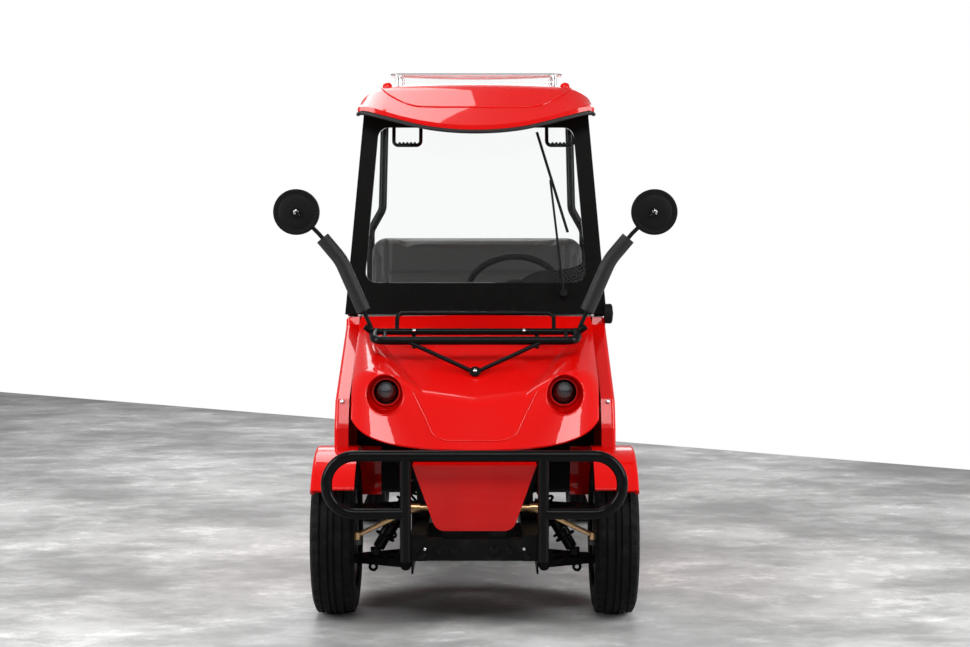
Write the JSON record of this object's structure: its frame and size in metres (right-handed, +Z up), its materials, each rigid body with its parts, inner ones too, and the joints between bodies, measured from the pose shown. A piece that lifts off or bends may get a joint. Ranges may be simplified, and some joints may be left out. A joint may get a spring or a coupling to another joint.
{
  "type": "golf cart",
  "caption": "Narrow open electric golf cart with a bench seat, windscreen, visor roof, bull bar, front rack and stalk mirrors, on road wheels with rack steering.",
  "frame": {"origin": "on the ground under the middle of the cart's bounding box", "axes": "+Z up, nose towards -Y, +X to the left of a driver who looks ahead"},
  "size_m": [1.34, 2.4, 1.789],
  "materials": {
    "body_red": "gloss paint",
    "chassis_black": "satin powder coat",
    "tube_black": "semi-gloss powder coat",
    "plastic_black": "fine grain",
    "screen_border": "fired black border",
    "screen_glass": "clear",
    "panel_clear": "clear sheet",
    "lamp_lens": "clear",
    "tail_red": "moulded lens",
    "mirror_glass": "silvered",
    "sleeve_foam": "matt foam",
    "seat_vinyl": "grained vinyl",
    "zinc_gold": "yellow zinc plate",
    "axle_steel": "painted casting",
    "stud_steel": "turned",
    "rim_silver": "painted silver",
    "tyre_rubber": "tread",
    "battery_case": "moulded",
    "deck_ribbed": "ribbed"
  },
  "bodies": {
    "chassis": {"frame": "chassis_black", "front_arms": "chassis_black", "front_shocks": "chassis_black", "steering_gear": "axle_steel", "steering_column": "plastic_black", "rear_axle": "axle_steel", "rear_springs": "chassis_black", "battery_pack": "battery_case", "bull_bar": "tube_black", "floor_pan": "plastic_black", "dashboard": "plastic_black", "hood": "body_red", "headlamps": "plastic_black", "headlamp_lenses": "lamp_lens", "nose_panel": "body_red", "front_fenders": "body_red", "side_panels": "body_red", "rocker_panels": "body_red", "seat_base": "plastic_black", "seat_cushion": "seat_vinyl", "seat_back": "seat_vinyl", "rear_body": "body_red", "cargo_deck": "deck_ribbed", "tail_lamps": "tail_red", "rear_bumper": "tube_black", "windshield_frame": "screen_border", "windshield": "screen_glass", "wiper": "plastic_black", "roof": "body_red", "roof_panel": "panel_clear", "roof_studs": "stud_steel", "roof_posts": "tube_black", "front_rack": "tube_black", "mirror_sleeves": "sleeve_foam", "mirrors": "plastic_black", "mirror_glasses": "mirror_glass", "pedals": "plastic_black"},
    "steering_wheel": {"steering_wheel": "plastic_black"},
    "rack": {"tie_rods": "zinc_gold"},
    "knuckle_left": {"knuckle_left": "axle_steel"},
    "knuckle_right": {"knuckle_right": "axle_steel"},
    "wheel_front_left": {"rim_front_left": "rim_silver", "tyre_front_left": "tyre_rubber"},
    "wheel_front_right": {"rim_front_right": "rim_silver", "tyre_front_right": "tyre_rubber"},
    "wheel_rear_left": {"rim_rear_left": "rim_silver", "tyre_rear_left": "tyre_rubber"},
    "wheel_rear_right": {"rim_rear_right": "rim_silver", "tyre_rear_right": "tyre_rubber"}
  },
  "joints": [
    {"name": "steering_turn", "type": "hinge", "parent": "chassis", "child": "steering_wheel", "pos_m": [0.14, -0.08, 0.998], "axis": [0, 0.788, 0.6157], "range_deg": [-450, 450]},
    {"name": "rack_slide", "type": "slide", "parent": "chassis", "child": "rack", "axis": [1, 0, 0], "range_m": [-0.05169, 0.05169]},
    {"name": "knuckle_left_turn", "type": "hinge", "parent": "chassis", "child": "knuckle_left", "pos_m": [0.4, -0.82, 0.254], "axis": [0, 0, 1], "range_deg": [-28.03, 28.03]},
    {"name": "knuckle_right_turn", "type": "hinge", "parent": "chassis", "child": "knuckle_right", "pos_m": [-0.4, -0.82, 0.254], "axis": [0, 0, 1], "range_deg": [-28.03, 28.03]},
    {"name": "wheel_front_left_spin", "type": "hinge", "parent": "knuckle_left", "child": "wheel_front_left", "pos_m": [0.445, -0.82, 0.254], "axis": [1, 0, 0], "continuous": true},
    {"name": "wheel_front_right_spin", "type": "hinge", "parent": "knuckle_right", "child": "wheel_front_right", "pos_m": [-0.445, -0.82, 0.254], "axis": [1, 0, 0], "continuous": true},
    {"name": "wheel_rear_left_spin", "type": "hinge", "parent": "chassis", "child": "wheel_rear_left", "pos_m": [0.445, 0.83, 0.254], "axis": [1, 0, 0], "continuous": true},
    {"name": "wheel_rear_right_spin", "type": "hinge", "parent": "chassis", "child": "wheel_rear_right", "pos_m": [-0.445, 0.83, 0.254], "axis": [1, 0, 0], "continuous": true}
  ],
  "couplings": [
    {"joint": "rack_slide", "follows": "steering_turn", "m_per_rad": 0.0065752},
    {"joint": "knuckle_left_turn", "follows": "steering_turn", "ratio": 0.062222},
    {"joint": "knuckle_right_turn", "follows": "steering_turn", "ratio": 0.062222}
  ]
}
